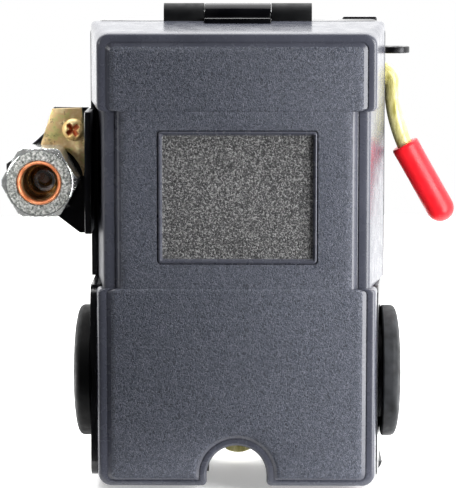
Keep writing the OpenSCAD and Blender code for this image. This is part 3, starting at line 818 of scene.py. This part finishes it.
# ------------------------------------------------------------------ unloader valve
VALVE = (-46.05, 70.2)
VALVE_AXIS = (VALVE[0], 0, VALVE[1])
SEAT_AXIS = (VALVE[0] + 0.9, 0, VALVE[1] + 0.2)
SLEEVE_R = 5.1
TUBE_R = 4.4
NUT_AF = 16.0
NUT_Y = (8.0, 20.0)
NUT_SEGMENTS = 180
NUT_BORE_R = SLEEVE_R + 0.02
NUT_BORE_CHAMFER = 0.25
NUT_CORNER_R = NUT_AF / math.sqrt(3)
NUT_FACE_R = NUT_AF / 2 - 0.35
NUT_FACE_EDGE = 0.15
NUT_FACE_STEP = 0.03
NUT_CHAMFER = math.radians(30)
# How far the corners are cut back, and how sharply the cut meets the flats.
NUT_CUT = 0.31
NUT_CUT_SHARPNESS = 24.0
# Profiles as (radius, Y), from the sleeve's front, which stands a little before the nut.
SLEEVE_Y = NUT_Y[0] - 0.4
SLEEVE = [(TUBE_R, SLEEVE_Y + 0.35), (TUBE_R + 0.18, SLEEVE_Y + 0.08), (TUBE_R + 0.38, SLEEVE_Y),
          (SLEEVE_R - 0.12, SLEEVE_Y + 0.12), (SLEEVE_R, SLEEVE_Y + 0.4), (SLEEVE_R, 16.0),
          (TUBE_R, 16.0), (TUBE_R, 12.0)]
BORE = [(TUBE_R - 0.3, 10.7), (TUBE_R - 0.02, 10.4), (TUBE_R - 0.02, 16.6), (3.0, 16.6), (3.0, 16.2),
        (TUBE_R - 0.3, 15.8)]
SEAT = [(1.75, 13.6), (2.0, 13.3), (2.45, 13.3), (2.7, 13.6), (2.7, 16.5), (1.75, 16.5)]


def nut_radius(angle):
    """Distance from the nut's axis to its side: a hexagon, points on +X and -X, with rounded corners."""
    flat = NUT_AF / 2 / math.cos(math.radians((math.degrees(angle) % 60) - 30))
    cut = NUT_CORNER_R - NUT_CUT
    k = NUT_CUT_SHARPNESS
    return -math.log(math.exp(-k * flat) + math.exp(-k * cut)) / k


def nut_ring(mesh_edit, limit, y):
    """A ring of the nut's vertices, no farther than limit from its axis."""
    ring = []
    for i in range(NUT_SEGMENTS):
        a = 2 * math.pi * i / NUT_SEGMENTS
        r = min(nut_radius(a), limit)
        ring.append(mesh_edit.verts.new(at(VALVE[0] + r * math.cos(a), y, VALVE[1] + r * math.sin(a))))
    return ring


def compression_nut():
    """The hexagon nut along Y, with turned chamfers on both ends and a sawn front face."""
    y0, y1 = NUT_Y
    rise = (NUT_CORNER_R - NUT_FACE_R) * math.tan(NUT_CHAMFER)
    chamfer = [(NUT_FACE_R + (NUT_CORNER_R - NUT_FACE_R) * t, rise * t) for t in spaced(0, 1, 8)]
    face = [(NUT_BORE_R, y0 + NUT_BORE_CHAMFER), (NUT_BORE_R + NUT_BORE_CHAMFER, y0),
            (NUT_FACE_R - NUT_FACE_EDGE, y0)]
    sides = [(limit, y0 + dy + NUT_FACE_STEP) for limit, dy in chamfer]
    sides += [(NUT_CORNER_R, y0 + (y1 - y0) * 0.5)]
    sides += [(limit, y1 - dy) for limit, dy in chamfer[::-1]]
    back = [(NUT_BORE_R + NUT_BORE_CHAMFER, y1), (NUT_BORE_R, y1 - NUT_BORE_CHAMFER)]
    mesh_edit = bmesh.new()
    rows = [nut_ring(mesh_edit, limit, y) for limit, y in face + sides + back]
    join_rows(mesh_edit, rows[:len(face)], 1)
    join_rows(mesh_edit, rows[len(face) - 1:])
    join_rows(mesh_edit, [rows[-1], rows[0]])
    finish_mesh("valve_nut", mesh_edit, [NUT_ZINC, nut_face()], "base",
                ["compression_nut"], NUT_SHARP)


def valve():
    """The nut, the sleeve in it, and the valve's bore and seat, which show inside the sleeve."""
    compression_nut()
    turned_ring("sleeve_ring", SLEEVE, VALVE_AXIS, (0, 1, 0), [sleeve_orange()], "base",
                ["tube_sleeve"], segments=96)
    turned_ring("valve_bore", BORE, VALVE_AXIS, (0, 1, 0), [BORE_BRONZE], "base", (),
                segments=96)
    turned_ring("valve_seat", SEAT, SEAT_AXIS, (0, 1, 0), [ZINC], "base", (),
                segments=64)


valve()

# ------------------------------------------------------------------ screws
CROSS_TURN = math.radians(38)
HEAD_RINGS = 14
HEAD_SEGMENTS = 72
SCREW_RECESS = plain("screw_recess", (0.36, 0.09, 0.03), (0.52, 0.16, 0.06), 0.35, 1500, 0.6)


def cross_distances(x, z):
    """Distances across and along the nearer arm of a screw's cross recess."""
    u = x * math.cos(CROSS_TURN) + z * math.sin(CROSS_TURN)
    v = z * math.cos(CROSS_TURN) - x * math.sin(CROSS_TURN)
    return min(abs(u), abs(v)), max(abs(u), abs(v))


def head_lift(x, z, t, head_r):
    """Height of a head over its seat at (x, z) from its axis, which is the share t of its radius."""
    arm, reach = cross_distances(x, z)
    across = 1 / (1 + math.exp((arm - 0.15 * head_r) * 26 / head_r))
    along = 1 / (1 + math.exp((reach - 0.60 * head_r) * 22 / head_r))
    dome = 0.55 * head_r * math.sqrt(max(0.0, 1 - (t * 0.97) ** 4))
    return dome - 0.48 * head_r * across * along * (1.25 - reach / head_r)


def screw_circle(r):
    """Points (x, z) round a screw's axis."""
    turns = [2 * math.pi * k / HEAD_SEGMENTS for k in range(HEAD_SEGMENTS)]
    return [(r * math.cos(a), r * math.sin(a)) for a in turns]


def add_screw(mesh_edit, place, head_r, shank_r, shank_l):
    """One screw facing -Y: a domed head with a cross recess, then its rim and shank."""
    x, y, z = place
    rows = []
    for t in spaced(0, 1, HEAD_RINGS):
        rows.append([mesh_edit.verts.new(at(x + px, y - head_lift(px, pz, t, head_r), z + pz))
                     for px, pz in screw_circle(head_r * t)])
    for r, depth in ((head_r, y - 0.12 * head_r), (head_r, y), (shank_r, y), (shank_r, y + shank_l)):
        rows.append([mesh_edit.verts.new(at(x + px, depth, z + pz)) for px, pz in screw_circle(r)])
    join_rows(mesh_edit, rows)
    mesh_edit.faces.new(rows[-1])


def mark_recess(mesh_edit, places, head_r):
    """Gives the faces of each cross recess the second material."""
    for face in mesh_edit.faces:
        centre = face.calc_center_median()
        for place in places:
            away = (centre - at(*place)) / MM
            arm, reach = cross_distances(away.x, away.z)
            if away.y < 0 and arm < 0.21 * head_r and reach < 0.66 * head_r:
                face.material_index = 1


def pan_head(name, node, places, head_r, shank_r, shank_l, *materials):
    """Pan-head screws that stand for a node; a second material goes into their recesses."""
    mesh_edit = bmesh.new()
    for place in places:
        add_screw(mesh_edit, place, head_r, shank_r, shank_l)
    bmesh.ops.remove_doubles(mesh_edit, verts=mesh_edit.verts, dist=WELD)
    if len(materials) > 1:
        mark_recess(mesh_edit, places, head_r)
    return finish_mesh(name, mesh_edit, materials, node_body(node), [node], SCREW_SHARP)


def screws():
    """The bracket's, the terminals', the frame's and the earth screw."""
    terminals = [(x, 26.2, 14) for x in (-18, -6, 6, 18)]
    frame_corners = [(x, 36.2, z) for x in (-14, 14) for z in (39, 99)]
    pan_head("bracket_screw_head", "bracket_screw", [(-38.9, 20.6, 81.7)], 2.6, 1.48, 8,
             CHROMATE_SCREW, SCREW_RECESS)
    pan_head("terminal_screw_heads", "terminal_screws", terminals, 3.2, 1.65, 6, ZINC)
    pan_head("frame_screw_heads", "frame_screws", frame_corners, 2.8, 1.48, 4, ZINC)
    pan_head("earth_screw_head", "ground_screw", [(26.5, 38, 52)], 3.4, 1.68, 3, EARTH_GREEN)


screws()

# ------------------------------------------------------------------ springs
COILS = 5
COIL_STEPS = 36


def coil_spring(name, node, z, radius, wire, fixed_y, rocker_y):
    """A round-wire compression spring, coiled from its fixed front end to the rocker, with a mesh of its
    own.
    """
    mean = radius - wire
    rise = (rocker_y - fixed_y - 2 * wire) / COILS
    path = []
    for i in range(COIL_STEPS * COILS + 1):
        a = 2 * math.pi * i / COIL_STEPS
        path.append((mean * math.cos(a), fixed_y + wire + rise * i / COIL_STEPS, z + mean * math.sin(a)))
    piece = tube(name, path, wire, [SPRING], "base", [node], sides=14, taper=0.1)
    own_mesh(piece)


coil_spring("range_coil", "range_spring", z=75, radius=8, wire=1, fixed_y=11.6, rocker_y=25.9)
coil_spring("differential_coil", "differential_spring", z=45, radius=5, wire=0.65, fixed_y=15.2,
            rocker_y=25.9)

# ------------------------------------------------------------------ pieces that keep the CAD's shape
# (node, material, width of its softened edges in mm).
EASED = [("lockout_tab", BLACK_STEEL, 0.3),
         ("frame_chassis", SHEET, 0.2), ("range_spring_cap", SHEET, 0.2), ("range_nut", ZINC, 0.3),
         ("differential_nut", ZINC, 0.25), ("rocker_beam", SHEET, 0.2), ("unloader_arm", SHEET, 0.2),
         ("plunger", BRASS, 0.25), ("contact_block", BAKELITE, 0.3), ("terminal_plates", BRASS, 0.15),
         ("contact_carrier", PHENOLIC, 0.3), ("moving_contacts", COPPER, 0.15), ("cover_catch", WIRE, 0.35),
         ("lever_bush", NYLON, 0.2), ("lever_cam", ZINC, 0.25), ("valve_carrier", GLOSS, 0.6),
         ("valve_bracket", SHEET, 0.22), ("valve_body", BRASS, 0.3), ("clamp_plate", SHEET, 0.25),
         ("manifold_flange", CAST, 0.6), ("manifold", CAST, 0.6), ("port_boss_left", CAST, 0.4),
         ("port_boss_right", CAST, 0.4), ("port_boss_bottom", CAST, 0.4), ("port_hexagon", CAST, 0.4),
         ("frame_cheek_left", SHEET, 0.2), ("frame_cheek_right", SHEET, 0.2),
         ("flange_bolts", BOLT_STEEL, 0.3)]
for node, material, width in EASED:
    eased(node, material, width)


def satin_above(piece, material, height):
    """Gives a piece's faces above a height of the case another material."""
    mesh = bpy.data.objects[piece].data
    mesh.materials.append(material)
    for polygon in mesh.polygons:
        if polygon.center.z > at(0, 0, height).z:
            polygon.material_index = 1


KNUCKLE_Z = 107.9
BARREL_STRETCH = 1.052
# The right ear's side, front and tip, and the heights between which both ears are drawn up to a new top.
EAR_X = 34.2
EAR_FRONT = 6.0
EAR_TOP = (41.4, 45.4, 46.3)
EAR_TIP_X = 32.9


def barrel_shape(point):
    """Closes the running gap between the barrel and its knuckles."""
    return Vector((point.x * BARREL_STRETCH, point.y, point.z))


def ear_shape(point):
    """Carries the right ear on in the cover's draft, and both ears up to the cover's recess."""
    x, y, z = (point - CASE) / MM
    z0, z1, top = EAR_TOP
    if z > z1 + 0.05:
        return point
    if x > EAR_X - 0.05 and y < COVER_DEPTH:
        x = EAR_TIP_X + (EAR_X - EAR_TIP_X) * (y - EAR_FRONT) / (COVER_DEPTH - EAR_FRONT)
    if abs(x) > 31 and z > z0:
        z += (top - z1) * (z - z0) / (z1 - z0)
    return at(x, y, z)


eased("base_housing", BASE, 0.35, shape=ear_shape)
satin_above("base_housing_eased", SATIN, KNUCKLE_Z)
eased("hinge_barrel", BARREL_GLOSS, 0.35, shape=barrel_shape)

# Small pieces that keep the CAD's own mesh.
KEPT = {"hinge_pin": ZINC, "range_stud": ZINC, "differential_stud": ZINC, "rocker_pivot_pin": ZINC,
        "fixed_contacts": SILVER, "lever_clip": SPRING, "valve_pin": ZINC, "diaphragm": DIAPHRAGM}
for node, material in KEPT.items():
    frame["nodes"][node].data.materials.clear()
    frame["nodes"][node].data.materials.append(material)

# ------------------------------------------------------------------ port threads
PORT_R = 5.55
PORT_LIP = -0.6
THREAD_PITCH = 1.41
THREAD_DEPTH = 0.5
# (name, middle of the mouth, way out, how deep the thread goes).
PORTS = [("rear", (0, 84, 58), (0, 1, 0), -11.4), ("left", (-26, 62, 58), (-1, 0, 0), -9.4),
         ("right", (26, 62, 58), (1, 0, 0), -9.4), ("bottom", (0, 62, 32), (0, 0, -1), -9.4)]


def thread_profile(radius, start, end):
    """A thread's ridges as rings, from start to end: each pitch has a crest, a slope and a root."""
    profile = []
    turns = int(abs(end - start) / THREAD_PITCH)
    step = (end - start) / turns
    for k in range(turns):
        y = start + (end - start) * k / turns
        profile += [(radius, y), (radius, y + step * 0.12), (radius - THREAD_DEPTH, y + step * 0.5),
                    (radius - THREAD_DEPTH, y + step * 0.62)]
    return profile + [(radius, end)]


def port_threads():
    """Ridges that show as the pipe thread inside each port."""
    for name, mouth, axis, end in PORTS:
        ridges = thread_profile(PORT_R - 0.04, PORT_LIP, end)
        wall = [(PORT_R - 0.02, end), (PORT_R - 0.02, PORT_LIP)]
        turned_ring("port_thread_" + name, ridges + wall, mouth, axis, [CAST], "base", (),
                    segments=64)


port_threads()

# ------------------------------------------------------------------ floor and light
FLOOR_R = 0.30
FLOOR_FRONT = 0.014
FLOOR_GAP = 0.0002
FLOOR_SIDES = 128
WORLD_STRENGTH = 2.0


def add_floor():
    """A round pale table whose front edge lies a little before the cover."""
    mesh_edit = bmesh.new()
    z = CAD_BOX[0][2] - FLOOR_GAP
    middle = CAD_BOX[0][1] - FLOOR_FRONT + FLOOR_R
    rim = [2 * math.pi * k / FLOOR_SIDES for k in range(FLOOR_SIDES)]
    mesh_edit.faces.new([mesh_edit.verts.new((FLOOR_R * math.cos(a), middle + FLOOR_R * math.sin(a), z))
                         for a in rim])
    mesh = bpy.data.meshes.new("floor")
    mesh_edit.to_mesh(mesh)
    mesh_edit.free()
    floor = bpy.data.objects.new("floor", mesh)
    bpy.context.scene.collection.objects.link(floor)
    mesh.materials.append(pale_floor())


def area_light(name, place, size, power, aim=(0, 20, 55), spread=180):
    """A soft light at a place of the case that shines at aim; size in metres, spread in degrees."""
    data = bpy.data.lights.new(name, "AREA")
    data.shape = "RECTANGLE"
    data.size, data.size_y = size
    data.energy = power
    data.spread = math.radians(spread)
    light = bpy.data.objects.new(name, data)
    bpy.context.scene.collection.objects.link(light)
    light.location = at(*place)
    light.rotation_euler = (at(*aim) - light.location).to_track_quat("-Z", "Y").to_euler()


# Studio brightness by direction: dark in front of the case, white beside, above and behind it.
STUDIO_TURN = math.radians(8)
STUDIO = [(0.0, 0.01), (0.14, 0.02), (0.27, 0.05), (0.39, 0.42), (0.50, 1.0)]


def studio_shade(nodes, links):
    """The studio's brightness in each direction, as a colour."""
    direction = nodes.new("ShaderNodeTexCoord")
    toward = nodes.new("ShaderNodeVectorMath")
    toward.operation = "DOT_PRODUCT"
    toward.inputs[1].default_value = (math.sin(STUDIO_TURN), math.cos(STUDIO_TURN), 0)
    half = nodes.new("ShaderNodeMath")
    half.operation = "MULTIPLY_ADD"
    half.inputs[1].default_value = 0.5
    half.inputs[2].default_value = 0.5
    ramp = nodes.new("ShaderNodeValToRGB")
    elements = ramp.color_ramp.elements
    while len(elements) < len(STUDIO):
        elements.new(0.5)
    for element, (position, grey) in zip(elements, STUDIO):
        element.position = position
        element.color = (grey, grey, grey, 1)
    links.new(direction.outputs["Generated"], toward.inputs[0])
    links.new(toward.outputs["Value"], half.inputs[0])
    links.new(half.outputs[0], ramp.inputs["Fac"])
    return ramp.outputs["Color"]


def add_studio():
    """The world: the studio lights the object, and the camera sees plain white behind it."""
    world = bpy.data.worlds.new("studio")
    bpy.context.scene.world = world
    world.use_nodes = True
    nodes, links = world.node_tree.nodes, world.node_tree.links
    light = nodes["Background"]
    light.inputs["Strength"].default_value = WORLD_STRENGTH
    links.new(studio_shade(nodes, links), light.inputs["Color"])
    backdrop = nodes.new("ShaderNodeBackground")
    backdrop.inputs["Color"].default_value = (1, 1, 1, 1)
    mix = nodes.new("ShaderNodeMixShader")
    links.new(nodes.new("ShaderNodeLightPath").outputs["Is Camera Ray"], mix.inputs["Fac"])
    links.new(light.outputs[0], mix.inputs[1])
    links.new(backdrop.outputs[0], mix.inputs[2])
    links.new(mix.outputs[0], nodes["World Output"].inputs["Surface"])


add_floor()
add_studio()
area_light("key", (132, -80, 62), (0.10, 0.18), 0.56, (8, 0, 52))
area_light("fill", (-150, -110, 120), (0.05, 0.05), 0.0055, (-54, 10, 77), 18)
area_light("top", (0, 120, 480), (0.8, 0.6), 5)
bpy.context.scene.view_settings.view_transform = "Standard"
